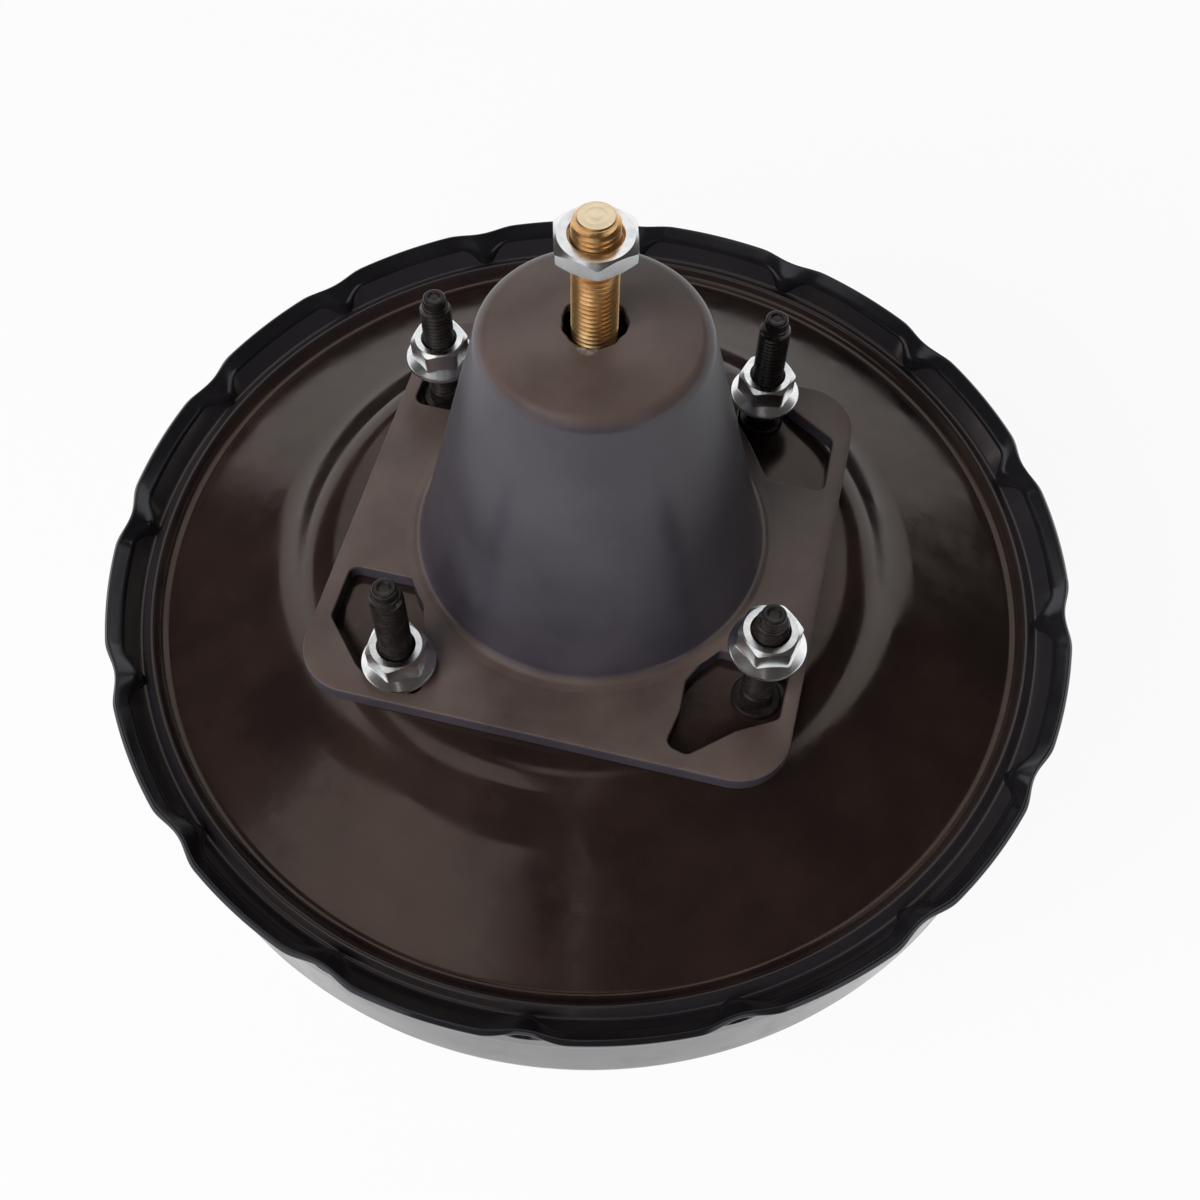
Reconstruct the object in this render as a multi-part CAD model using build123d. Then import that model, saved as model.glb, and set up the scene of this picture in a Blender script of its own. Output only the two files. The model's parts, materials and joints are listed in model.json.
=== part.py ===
from build123d import *
import os
from math import cos, hypot, pi, radians, sin, sqrt, tan

os.makedirs("parts", exist_ok=True)

# Vacuum brake booster, all sizes in millimetres.
# The origin is the centre of the face that bears on the firewall, the top of the boot's flange.
# +Z points into the cabin along the input rod, and the studs stand on the corners of a square.
# Heights in this source count from the rear shell's boss face, and place() lowers them to the origin.

# Running fits and seats
slide_gap = 0.06            # radial gap of a sliding or turning fit
seat_gap = 0.05             # gap between pressed or seated pieces of one body
free_gap = 0.3              # gap between pieces that pass each other

# Pressed steel shells
sheet = 1.8                 # thickness of both shells
wall_r = 121.9              # outside of the front shell above the joggle
rim_flare = 3.1             # how far the rim's edge stands out from the wall
rim_drop = 10.8             # boss face to the rim's edge
joggle = 1.0                # inward step that carries the diaphragm bead
joggle_depth = 14.2         # rim's edge to the top of the joggle
wall_depth = 41.0           # rim's edge to the shoulder
shoulder_fillet = 9.0       # bend between the wall and the cone
front_face_r = 82.0         # where the cone meets the flat front
front_face_depth = 75.0     # rim's edge to the flat front
front_boss_r = 50.0         # raised boss that carries the master cylinder
front_boss_depth = 84.0     # rim's edge to the master cylinder face
pilot_r = 21.0              # hole that centres the master cylinder

# Crimps round the rim
crimp_count = 16
crimp_phase = -2.7          # angle of the first crimp
crimp_depth = 2.8           # how far the rim's edge is pushed in
crimp_height = 6.5          # rim's edge down to the lanced slit
crimp_lean = 24.0           # slope of the pushed-in band
crimp_punch_r = 16.5        # radius of the punch

# Rear shell
flange_flat = 1.8           # level width at the flange's edge
channel_inset = 8.4         # wall to the inner edge of the clamped flange
channel_drop = 1.8          # fall of the flange over its width
channel_ledge = 6.5         # inner edge of the flange to the foot of the dished cone
dish_drop = 2.3             # foot of the cone below the flange's edge
boss_foot_r = 76.0          # foot of the raised boss
boss_foot_drop = 8.3        # boss top to its foot
boss_r = 69.5               # corner of the flat boss
neck_r = 27.5               # outside of the drawn neck
neck_height = 21.0          # firewall face to the neck's end

# Firewall studs and flange nuts, M8
stud_spacing = 85.0
stud_r = 4.0
stud_thread_r = 3.92        # rolled thread above the plain lead
stud_lead_top = 5.7         # top of the plain lead
stud_neck_r = 4.2           # knurled neck in the plates
stud_length = 39.2          # above the firewall face
stud_point_r = 2.9
stud_point_length = 2.6
stud_collar_r = 6.0
stud_collar_height = 1.4
stud_head_r = 6.5
stud_head_height = 3.5
nut_across_flats = 13.0
nut_height = 8.0
nut_flange_r = 8.9
nut_flange_height = 1.4
nut_places = [(-1, 1, 16.3, 12.0), (1, 1, 10.0, 3.0), (-1, -1, 6.0, 20.0), (1, -1, 24.4, 8.0)]

# Stiffening plates
plate_sheet = 3.0
rear_plate_r = 65.5
rear_plate_side = 114.0
rear_plate_bore = 22.0
front_plate_r = 46.5

# Master cylinder studs, M8
front_stud_spacing = 54.0
front_stud_length = 24.0    # beyond the master cylinder face
front_head_height = 3.0

# Dust boot
boot_side = 118.6           # square flange
boot_corner = 13.0
boot_turn = -9.85           # angle of the flange about the rod
boot_flange = 4.2           # thickness of the flange
boot_base_r = 43.0
boot_top_r = 25.2
boot_height = 78.3          # firewall face to the boot's flat top
boot_wall = 2.2
boot_hole_r = 6.2
boot_crown = 3.0            # rise of the top from its rim to the hole

# Valve body and what it carries
neck_bore = 14.5            # bore of the valve body's tail
tail_r = 19.0               # outside of the tail
hub_top = -11.4             # top of the lip over the diaphragm
hub_lip_r = 22.5
hub_flange_r = 32.0
hub_flange = 4.0
hub_nose = -40.0            # front end of the valve body
hub_nose_r = 20.0
disc_r = 13.0               # reaction disc
disc_top = -22.0
disc_height = 8.0
rubber = 1.6                # thickness of the diaphragm
press_plate = 1.5           # thickness of the diaphragm plate
diaphragm_top = -13.6
piston_knee_r = 70.4        # where the diaphragm plate starts to slope
piston_edge_drop = 8.3      # fall of the sloped stretch
plate_lip_end = -32.0       # lower end of the plate's turned lip
fold_bottom = -42.0         # lowest point inside the rolling fold
fold_width = 8.0            # across the rolling fold
fold_clear = 4.3            # fold to the inside of the clamped bead

# Air valve
plunger_r = 9.9
plunger_nose_r = 6.0
plunger_step = -6.0
valve_seat = 19.0           # end of the plunger that closes the air valve
vacuum_gap = 0.85           # poppet to the vacuum seat at rest
valve_travel = 1.8          # plunger travel in the valve body
ball_r = 6.6
ball_height = 7.0           # ball's centre above the firewall face
key_thick = 2.0
key_half_width = 10.6
key_slot_r = 6.6            # bottom of the plunger's key groove
poppet_r = 13.3
poppet_bore = 8.0
poppet_face = 2.6           # thickness of the poppet's sealing face
bead_bottom = 33.0          # rear bead of the poppet bellows
bead_height = 3.0
retainer_bore = 7.6
spring_seat_height = 48.0   # washer on the rod
silencer_thick = 2.6
filter_thick = 3.4
filter_bore = 7.0
retainer_lip = 1.2          # snap cap over the tail's end
retainer_skirt = 5.0         # length of the filter retainer's skirt over the tail

# Input rod, M10, and its lock nut
rod_r = 5.0                 # thread beyond the lock nut
rod_shank_r = 4.8           # thread under the lock nut and below it
rod_end = 110.6
rod_chamfer = 1.0
rod_stem_r = 4.4            # plain shank near the ball
lock_across_flats = 16.5
lock_height = 4.0
lock_bottom = 101.8
lock_turn = 36.1
lock_chamfer = 0.6

# Output rod
output_head = 5.0
output_r = 6.0
output_end = -99.0
adjuster_r = 4.6
adjuster_length = 7.0

# Seals at both ends
bearing_height = 7.8
seal_height = 6.0
seal_retainer_height = 2.0
front_seal_height = 6.0
front_seal_r = 23.2

# Springs
return_wire = 3.6
return_mean_r = 28.0
return_turns = 5.5

# Check valve on the front face
check_place_r = 67.5
check_turn = 205.0          # angle round the rod
check_stem_r = 6.0
check_stem_bore = 3.4
check_case_r = 11.0
check_case_height = 11.0
check_wall = 1.8
grommet_r = 10.2
grommet_neck_r = 8.0
grommet_flange = 3.0
nipple_r = 5.0
nipple_bead_r = 5.6         # bead that holds the hose
nipple_bore = 3.0
nipple_length = 34.0
check_disc_r = 6.4
check_disc = 1.5

# Radii that follow
rim_r = wall_r + rim_flare
channel_r = wall_r - channel_inset
dish_r = channel_r - channel_ledge
bead_r = channel_r - free_gap
fold_outer_r = bead_r - fold_clear
piston_edge_r = fold_outer_r - fold_width

# Heights that follow
rim_z = -rim_drop
slit_z = rim_z - crimp_height
front_inner_z = rim_z - front_boss_depth + sheet
front_plate_top = front_inner_z + plate_sheet
front_face_z = rim_z - front_face_depth
master_face_z = rim_z - front_boss_depth
rear_plate_z = -sheet - plate_sheet
plate_top = diaphragm_top - rubber
hub_flange_top = plate_top - press_plate
hub_flange_bottom = hub_flange_top - hub_flange
tail_end = boot_height - boot_wall - retainer_lip - free_gap
silencer_bottom = tail_end - filter_thick - silencer_thick
nose_gap = valve_travel + free_gap      # plunger nose to the reaction disc at rest


def offset_path(path, gap, side):
    """Path moved sideways by gap; side 1 is left of its direction, -1 is right."""
    lines = []
    for (r0, z0, _), (r1, z1, _) in zip(path, path[1:]):
        length = hypot(r1 - r0, z1 - z0)
        dr, dz = (r1 - r0) / length, (z1 - z0) / length
        lines.append((r0 - side * gap * dz, z0 + side * gap * dr, dr, dz))
    moved = [(lines[0][0], lines[0][1], 0.0)]
    for before, after, corner in zip(lines, lines[1:], path[1:]):
        cross = before[2] * after[3] - before[3] * after[2]
        reach = (after[0] - before[0]) * after[3] - (after[1] - before[1]) * after[2]
        t = reach / cross
        bend = corner[2] - gap if cross * side > 0 else corner[2] + gap
        bend = 0.0 if corner[2] == 0 else max(bend, 0.0)
        moved.append((before[0] + t * before[2], before[1] + t * before[3], bend))
    r_end, z_end, dr, dz = lines[-1]
    length = hypot(path[-1][0] - path[-2][0], path[-1][1] - path[-2][1])
    moved.append((r_end + length * dr, z_end + length * dz, 0.0))
    return moved


def outline(points):
    """Closed wire in the XZ plane through (r, z, fillet) corners."""
    count = len(points)
    starts, ends, middles = [], [], []
    for i, (r, z, bend) in enumerate(points):
        here = Vector(r, 0, z)
        back = Vector(points[i - 1][0], 0, points[i - 1][1]) - here
        ahead = Vector(points[(i + 1) % count][0], 0, points[(i + 1) % count][1]) - here
        if bend == 0:
            starts.append(here)
            ends.append(here)
            middles.append(None)
            continue
        half = radians(back.get_angle(ahead)) / 2
        tangent = bend / tan(half)
        to_centre = (back.normalized() + ahead.normalized()).normalized()
        starts.append(here + back.normalized() * tangent)
        ends.append(here + ahead.normalized() * tangent)
        middles.append(here + to_centre * (bend / sin(half) - bend))
    edges = []
    for i in range(count):
        if middles[i] is not None:
            edges.append(ThreePointArc(starts[i], middles[i], ends[i]))
        gap = starts[(i + 1) % count] - ends[i]
        if gap.length > 1e-4:
            edges.append(Line(ends[i], starts[(i + 1) % count]))
    return Wire(edges)


def lathe(points):
    """Solid turned about Z from (r, z) or (r, z, fillet) corners."""
    corners = [p if len(p) == 3 else (p[0], p[1], 0.0) for p in points]
    return revolve(Face(outline(corners)), Axis.Z, 360)


def pressed(path, thickness, side):
    """Turned sheet of one thickness, given by one of its faces."""
    return lathe(path + offset_path(path, thickness, side)[::-1])


def ring(inner, outer, low, high):
    return lathe([(inner, low), (outer, low), (outer, high), (inner, high)])


def rod(radius, low, high):
    return Pos(0, 0, low) * Cylinder(radius, high - low, align=(Align.CENTER, Align.CENTER, Align.MIN))


def square_places(spacing):
    half = spacing / 2
    return [Pos(x * half, y * half, 0) for x in (-1, 1) for y in (-1, 1)]


def coil(mean_r, wire, low, high, turns):
    """Round-wire compression spring with its ends on two seats."""
    rise = high - low - wire
    path = Helix(rise / turns, rise, mean_r)
    start = Plane(origin=path @ 0, z_dir=path % 0)
    wound = sweep(start * Circle(wire / 2), path=path, is_frenet=True)
    return Pos(0, 0, low + wire / 2) * wound


def place(shape):
    """Heights lowered so that the firewall face is at zero."""
    return Pos(0, 0, -boot_flange) * shape


def write(name, shape):
    shape.label = name
    export_step(shape, f"parts/{name}.step")


def save(name, shape):
    write(name, place(shape))


def save_group(name, shapes):
    write(name, Compound(children=[place(shape).solids()[0] for shape in shapes]))


# Shells

def front_path():
    """Outside face of the front shell, from the rim to the pilot hole."""
    edge_drop = sheet * cos(radians(45))
    flare = rim_r - wall_r
    return [
        (rim_r, rim_z - edge_drop, 0.0),
        (wall_r, rim_z - edge_drop - flare, 2.5),
        (wall_r, rim_z - joggle_depth, 3.0),
        (wall_r - joggle, rim_z - joggle_depth - 2.6, 3.0),
        (wall_r - joggle, rim_z - wall_depth, shoulder_fillet),
        (front_face_r, front_face_z, 10.0),
        (front_boss_r + 4.0, front_face_z, 4.0),
        (front_boss_r, master_face_z, 4.0),
        (pilot_r, master_face_z, 0.0),
    ]


def crimp_punch(radius, low, high):
    """Leaning punch that pushes the band in, cut off at two heights."""
    length = 4 * crimp_punch_r
    centre_r = rim_r - crimp_depth + crimp_punch_r / cos(radians(crimp_lean))
    punch = Cylinder(radius, length)
    punch = Pos(centre_r, 0, rim_z) * Rot(0, crimp_lean, 0) * punch
    slab = Pos(rim_r, 0, low) * Box(length, length, high - low, align=(Align.CENTER, Align.CENTER, Align.MIN))
    return punch & slab


def front_shell():
    shell = pressed(front_path(), sheet, -1)
    inside = lathe([
        (bead_r, slit_z),
        (wall_r - 0.5 * sheet, slit_z),
        (wall_r - 0.5 * sheet, rim_z - (rim_r - wall_r)),
        (rim_r - 0.5 * sheet, rim_z),
        (bead_r, rim_z),
    ])
    cutter = crimp_punch(crimp_punch_r, slit_z, rim_z + 4.0)
    lobe = crimp_punch(crimp_punch_r + sheet, slit_z, rim_z) & inside
    turns = [Rot(0, 0, crimp_phase + k * 360 / crimp_count) for k in range(crimp_count)]
    shell += [turn * lobe for turn in turns]
    shell -= [turn * cutter for turn in turns]
    holes = [spot * rod(stud_neck_r + seat_gap, master_face_z - 1, front_inner_z + 1)
             for spot in square_places(front_stud_spacing)]
    shell -= holes
    shell -= check_place() * rod(grommet_neck_r, front_face_z - 1, front_face_z + sheet + 1)
    return shell


def rear_path():
    """Cabin-side face of the rear shell, from the clamped flange to the neck's end."""
    edge_r = wall_r - sheet - 0.15
    return [
        (edge_r, slit_z, 0.0),
        (edge_r - flange_flat, slit_z, 1.5),
        (channel_r, slit_z - channel_drop, 2.0),
        (dish_r, slit_z - dish_drop, 6.0),
        (boss_foot_r, -boss_foot_drop, 14.0),
        (boss_r, 0.0, 8.0),
        (neck_r, 0.0, 2.6),
        (neck_r, neck_height, 0.0),
    ]


def rear_shell():
    shell = pressed(rear_path(), sheet, 1)
    shell -= [spot * rod(stud_neck_r + seat_gap, -sheet - 1, 1) for spot in square_places(stud_spacing)]
    return shell


def rear_plate():
    square = Box(rear_plate_side, rear_plate_side, plate_sheet, align=(Align.CENTER, Align.CENTER, Align.MIN))
    plate = Pos(0, 0, rear_plate_z) * square & rod(rear_plate_r, rear_plate_z, -sheet)
    plate -= rod(rear_plate_bore, rear_plate_z - 1, 0)
    plate -= [spot * rod(stud_neck_r + seat_gap, rear_plate_z - 1, 0) for spot in square_places(stud_spacing)]
    return plate


def front_plate():
    plate = ring(pilot_r, front_plate_r, front_inner_z, front_plate_top)
    holes = [spot * rod(stud_neck_r + seat_gap, front_inner_z - 1, front_plate_top + 1)
             for spot in square_places(front_stud_spacing)]
    return plate - holes


# Fasteners

def firewall_stud():
    collar_top = stud_collar_height
    tip = stud_length - stud_point_length
    return lathe([
        (0, rear_plate_z - stud_head_height),
        (stud_head_r, rear_plate_z - stud_head_height, 0.8),
        (stud_head_r, rear_plate_z),
        (stud_neck_r, rear_plate_z),
        (stud_neck_r, 0),
        (stud_collar_r, 0),
        (stud_collar_r, collar_top, 0.6),
        (stud_r, collar_top + 0.3),
        (stud_r, stud_lead_top),
        (stud_thread_r, stud_lead_top + 0.1),
        (stud_thread_r, tip - 1.2),
        (stud_point_r, tip),
        (stud_point_r - 0.2, stud_length, 0.5),
        (0, stud_length),
    ])


def flange_nut():
    hexagon = extrude(RegularPolygon(nut_across_flats / 2, 6, major_radius=False), nut_height)
    across_corners = nut_across_flats / cos(pi / 6)
    turned = lathe([
        (0, 0),
        (nut_flange_r, 0, 0.4),
        (nut_flange_r, nut_flange_height, 0.4),
        (across_corners / 2, nut_flange_height + 1.3),
        (across_corners / 2, nut_height - 1.0),
        (nut_across_flats / 2 - 0.3, nut_height),
        (0, nut_height),
    ])
    skirt = lathe([
        (0, 0),
        (nut_flange_r, 0, 0.4),
        (nut_flange_r, nut_flange_height, 0.4),
        (nut_across_flats / 2 - 0.2, nut_flange_height + 1.6),
        (0, nut_flange_height + 1.6),
    ])
    nut = (hexagon & turned) + skirt
    return nut - rod(stud_r + slide_gap, -1, nut_height + 1)


def master_stud():
    head_top = front_plate_top + front_head_height
    end = master_face_z - front_stud_length
    return lathe([
        (0, end),
        (stud_point_r, end, 0.4),
        (stud_r, end + 1.4),
        (stud_r, master_face_z),
        (stud_neck_r, master_face_z),
        (stud_neck_r, front_plate_top),
        (stud_head_r, front_plate_top),
        (stud_head_r, head_top, 0.6),
        (0, head_top),
    ])


# Dust boot

def boot_cutouts():
    """Openings of the four corners, each seen with its corner at the upper right."""
    stud_side = 28.0
    outer = 55.6
    right = [
        (stud_side, 45.0), (stud_side, outer), (38.0, outer), (43.0, 50.3),
        (54.7, 43.2), (54.9, 26.2), (40.4, 26.2), (34.0, 36.5),
    ]
    hidden = [
        (stud_side, 44.0), (stud_side, outer), (38.0, outer), (44.0, 51.0),
        (54.5, 39.5), (54.5, 27.0), (40.0, 27.0), (34.0, 36.0),
    ]
    left = [
        (stud_side, 44.5), (stud_side, outer), (38.5, outer), (44.5, 51.6),
        (54.9, 40.2), (54.9, 25.1), (37.7, 25.1), (34.2, 32.0), (31.8, 40.0),
    ]
    near = [
        (26.2, 38.6), (27.2, outer), (40.8, outer), (46.4, 46.2),
        (55.2, 36.4), (53.8, 31.0), (44.2, 32.6), (36.4, 32.2), (29.4, 35.6),
    ]
    return [right, hidden, left, near]


def dust_boot():
    cone_gap = (boot_base_r - boot_top_r) / (boot_height - boot_flange)
    crown_top = boot_height + boot_crown
    inner_top = boot_height - boot_wall
    inner_base = boot_base_r + cone_gap * boot_flange - boot_wall
    inner_top_r = inner_base - cone_gap * inner_top
    cone = lathe([
        (0, 0),
        (boot_base_r + 3.0, 0),
        (boot_base_r + 3.0, boot_flange),
        (boot_base_r, boot_flange, 1.5),
        (boot_top_r, boot_height, 2.6),
        (boot_top_r / 2, boot_height + 0.7 * boot_crown, 30.0),
        (0, crown_top),
    ])
    flange = extrude(RectangleRounded(boot_side, boot_side, boot_corner), boot_flange)
    flange = chamfer(flange.edges().group_by(Axis.Z)[-1], 0.4)
    for turn, points in enumerate(boot_cutouts()):
        corner = make_face(Polyline(*points, close=True))
        corner = fillet(corner.vertices(), 2.0)
        flange -= Rot(0, 0, 90 * turn) * extrude(corner, boot_flange)
    boot = Rot(0, 0, boot_turn) * flange + cone
    boot -= lathe([
        (0, 0),
        (inner_base, 0),
        (inner_top_r, inner_top, 2.0),
        (inner_top_r / 2, inner_top + 0.7 * boot_crown, 30.0),
        (0, crown_top - boot_wall),
    ])
    return boot - rod(boot_hole_r, inner_top, crown_top + 1)


# Rear guide and seal

def rear_bearing():
    low = -sheet
    bore = tail_r + slide_gap
    outer = neck_r - sheet - seat_gap
    return lathe([
        (bore, low, 0.0), (outer, low, 0.0), (outer, low + bearing_height), (bore, low + bearing_height),
    ])


def rear_seal():
    low = bearing_height - sheet
    high = low + seal_height
    outer = neck_r - sheet - seat_gap
    return lathe([
        (tail_r + slide_gap, low + 1.2),
        (tail_r + 1.6, low),
        (outer, low),
        (outer, high),
        (outer - 2.0, high),
        (outer - 2.6, low + 2.4),
        (tail_r + 1.8, low + 2.4),
        (tail_r + 1.0, high - 0.6),
        (tail_r + slide_gap, high - 1.6),
    ])


def rear_seal_retainer():
    low = bearing_height - sheet + seal_height
    outer = neck_r - sheet - seat_gap
    return ring(tail_r + free_gap, outer, low, low + seal_retainer_height)


# Front seal

def front_seal():
    low = front_plate_top
    high = low + front_seal_height
    return lathe([
        (output_r + slide_gap, low + 1.0),
        (output_r + 1.4, low),
        (front_seal_r, low),
        (front_seal_r, high),
        (output_r + 5.0, high),
        (output_r + 4.0, low + 2.6),
        (output_r + slide_gap, low + 2.6),
    ])


def front_seal_retainer():
    low = front_plate_top
    high = low + front_seal_height
    lip = 1.2
    outer = front_seal_r + seat_gap + lip
    return lathe([
        (front_seal_r + seat_gap, low),
        (outer, low),
        (outer, high + lip),
        (output_r + 6.0, high + lip),
        (output_r + 6.0, high),
        (front_seal_r + seat_gap, high),
    ])


# Check valve

def check_place():
    return Rot(0, 0, check_turn) * Pos(check_place_r, 0, 0)


def check_grommet():
    low = front_face_z - grommet_flange
    neck_top = front_face_z + sheet
    grommet = lathe([
        (check_stem_r + seat_gap, low),
        (grommet_r, low, 0.8),
        (grommet_r, front_face_z),
        (grommet_neck_r - seat_gap, front_face_z),
        (grommet_neck_r - seat_gap, neck_top),
        (grommet_neck_r + 1.6, neck_top),
        (check_stem_r + 1.6, neck_top + 3.0),
        (check_stem_r + seat_gap, neck_top + 3.0),
    ])
    return check_place() * grommet


def check_heights():
    """Seat of the disc, floor of the chamber and under side of the case."""
    seat = front_face_z - grommet_flange - check_wall
    under = seat - check_case_height
    return seat, under + check_wall, under


def check_cap():
    seat, _, _ = check_heights()
    top = front_face_z + sheet + 6.0
    cap = lathe([
        (check_stem_bore, seat),
        (check_case_r, seat),
        (check_case_r, seat + check_wall),
        (check_stem_r, seat + check_wall),
        (check_stem_r, top - 3.0),
        (check_stem_r - 1.0, top),
        (check_stem_bore, top),
    ])
    return check_place() * cap


def check_body():
    seat, floor, under = check_heights()
    case = rod(check_case_r, under, seat)
    nipple_z = floor + nipple_bore + 0.6
    start = Pos(0, 0, nipple_z) * Rot(0, 90, 0)
    reach = check_case_r + nipple_length
    case += start * rod(nipple_r, 0, reach)
    barb = lathe([
        (nipple_r - 0.5, reach - 5.0),
        (nipple_r, reach - 5.0),
        (nipple_bead_r, reach - 4.0),
        (nipple_bead_r, reach - 2.0),
        (nipple_r - 0.4, reach),
        (nipple_r - 0.5, reach),
    ])
    case += start * barb
    case -= rod(check_case_r - check_wall, floor, seat)
    case -= start * rod(nipple_bore, check_case_r - 2 * check_wall, reach + 1)
    return check_place() * case


def check_disc_piece():
    seat, _, _ = check_heights()
    disc = rod(check_disc_r, seat - check_disc, seat)
    disc += rod(check_stem_bore - 1.4, seat, seat + 4.0)
    return check_place() * disc


def check_spring():
    seat, floor, _ = check_heights()
    return check_place() * coil(4.2, 0.7, floor, seat - check_disc, 3.5)


# Diaphragm and power piston

def diaphragm_path():
    """Rear face of the diaphragm, from its bead in the hub to the clamped bead."""
    bend = (fold_outer_r - piston_edge_r) / 2 - 0.05
    bead_low = rim_z - joggle_depth - 2.6
    return [
        (hub_lip_r - 1.9, diaphragm_top, 0.0),
        (piston_knee_r, diaphragm_top, 10.0),
        (piston_edge_r, diaphragm_top - piston_edge_drop, 3.4),
        (piston_edge_r, fold_bottom, bend),
        (fold_outer_r, fold_bottom, bend),
        (fold_outer_r, bead_low + 2.4, 2.4),
        (bead_r + 0.4, bead_low + 2.4, 0.0),
    ]


def diaphragm():
    sheet_part = pressed(diaphragm_path(), rubber, -1)
    upper, lower = offset_path(front_path(), sheet + 0.1, -1)[2:4]
    edge, bend, channel = offset_path(rear_path(), sheet + 0.15, 1)[:3]
    slope = (bend[1] - channel[1]) / (bend[0] - channel[0])
    bead = lathe([
        (bead_r, lower[1] + 0.2, 0.6),
        (lower[0], lower[1] + 0.2),
        (upper[0], upper[1] + 1.0),
        (upper[0], edge[1]),
        (bend[0] + 0.4, edge[1]),
        (bend[0] - 0.6, bend[1] - 0.6 * slope - 0.05),
        (bead_r, bend[1] + (bead_r - bend[0]) * slope, 0.6),
    ])
    return sheet_part + bead


def diaphragm_plate():
    top = offset_path(diaphragm_path(), rubber, -1)
    knee, edge = top[1], top[2]
    path = [(hub_lip_r + 0.2, plate_top, 0.0), knee, edge, (edge[0], plate_lip_end, 0.0)]
    return pressed(path, press_plate, -1)


def valve_body():
    bore_step = valve_seat - vacuum_gap
    outer = lathe([
        (plunger_nose_r + slide_gap, hub_nose),
        (hub_nose_r, hub_nose, 2.0),
        (hub_nose_r, hub_flange_bottom, 2.0),
        (hub_flange_r, hub_flange_bottom, 1.0),
        (hub_flange_r, hub_flange_top),
        (hub_lip_r, hub_flange_top),
        (hub_lip_r, plate_top),
        (hub_lip_r - 2.0, plate_top),
        (hub_lip_r - 2.0, diaphragm_top),
        (hub_lip_r, diaphragm_top),
        (hub_lip_r, hub_top, 0.8),
        (tail_r, hub_top + 1.0, 1.0),
        (tail_r, tail_end, 0.5),
        (neck_bore, tail_end),
        (neck_bore, bore_step - 3.0),
        (poppet_r - 0.3, bore_step - 3.0),
        (poppet_r - 0.3, bore_step),
        (plunger_r + 1.4, bore_step),
        (plunger_r + 1.4, plunger_step + 12.0),
        (plunger_r + slide_gap, plunger_step + 12.0),
        (plunger_r + slide_gap, plunger_step - valve_travel - 0.4),
        (plunger_nose_r + slide_gap, plunger_step - valve_travel - 0.4),
    ])
    outer -= rod(disc_r + seat_gap, hub_nose - 1, disc_top)
    slot_height = key_thick + 2 * seat_gap
    slot_width = 2 * (key_half_width + seat_gap)
    slot = Pos(key_slot_r - 3.0 - seat_gap, 0, 0) * Box(2 * tail_r, slot_width, slot_height,
                                                       align=(Align.MIN, Align.CENTER, Align.CENTER))
    outer -= slot
    return outer


def reaction_disc():
    return rod(disc_r, disc_top - disc_height, disc_top)


def output_rod():
    head_top = disc_top - disc_height
    head = head_top - output_head
    thread_end = output_end + adjuster_length
    body = lathe([
        (0, thread_end - 6.0),
        (output_r, thread_end - 6.0, 0.6),
        (output_r, head - 3.0, 2.0),
        (disc_r - 4.0, head),
        (disc_r, head, 0.5),
        (disc_r, head_top),
        (0, head_top),
    ])
    return body - rod(adjuster_r - 1.6 + seat_gap, thread_end - 7.0, thread_end + 12.0)


def output_adjuster():
    thread_end = output_end + adjuster_length - 6.0
    return lathe([
        (0, output_end - 2.0),
        (adjuster_r - 1.4, output_end - 2.0, 1.0),
        (adjuster_r, output_end, 0.4),
        (adjuster_r, thread_end),
        (adjuster_r - 1.6, thread_end),
        (adjuster_r - 1.6, thread_end + 15.0),
        (0, thread_end + 15.0),
    ])


def output_retainer():
    top = disc_top - disc_height - output_head - seat_gap
    return lathe([
        (disc_r - 3.0, top - 1.0),
        (disc_r, top - 1.0),
        (disc_r, top),
        (disc_r - 3.0, top),
    ])


def return_spring():
    return coil(return_mean_r, return_wire, front_plate_top, hub_flange_bottom, return_turns)


# Air valve

def plunger():
    groove_low = -key_thick / 2 - 0.15
    groove_high = key_thick / 2 + valve_travel + 0.15
    shoulder = valve_seat - 3.0
    body = lathe([
        (0, disc_top + nose_gap),
        (plunger_nose_r, disc_top + nose_gap, 0.6),
        (plunger_nose_r, plunger_step),
        (plunger_r, plunger_step, 0.3),
        (plunger_r, groove_low),
        (key_slot_r, groove_low),
        (key_slot_r, groove_high),
        (plunger_r, groove_high),
        (plunger_r, shoulder),
        (plunger_r + 0.9, shoulder + 1.0),
        (plunger_r + 0.9, valve_seat - 0.6),
        (plunger_r, valve_seat),
        (plunger_r - 1.4, valve_seat),
        (plunger_r - 2.6, valve_seat - 3.0),
        (0, valve_seat - 3.0),
    ])
    cup = Pos(0, 0, ball_height) * Sphere(ball_r + slide_gap)
    mouth = lathe([
        (0, ball_height + 2.0),
        (rod_stem_r + 1.0, ball_height + 2.0),
        (rod_stem_r + 1.6, valve_seat),
        (0, valve_seat),
    ])
    return body - cup - mouth


def stop_key():
    thick = key_thick
    key = Pos(key_slot_r - 3.0, 0, 0) * Box(2 * tail_r, 2 * key_half_width, thick,
                                           align=(Align.MIN, Align.CENTER, Align.CENTER))
    key = key & rod(tail_r - 0.4, -thick, thick)
    return key - rod(key_slot_r + free_gap, -thick, thick)


def poppet_valve():
    low = valve_seat
    face_top = low + poppet_face
    return lathe([
        (poppet_bore, low),
        (poppet_r, low, 0.6),
        (poppet_r, face_top, 0.6),
        (poppet_bore, face_top),
    ])


def poppet_bellows():
    low = valve_seat + poppet_face
    mid = (low + bead_bottom) / 2
    return lathe([
        (poppet_r - 1.4, low),
        (poppet_r - 0.4, low),
        (poppet_r - 1.2, mid),
        (poppet_r - 0.4, bead_bottom),
        (neck_bore - seat_gap, bead_bottom),
        (neck_bore - seat_gap, bead_bottom + bead_height, 0.6),
        (poppet_r - 1.4, bead_bottom + bead_height),
        (poppet_r - 1.4, bead_bottom - 1.0),
        (poppet_r - 2.2, mid),
    ])


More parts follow.
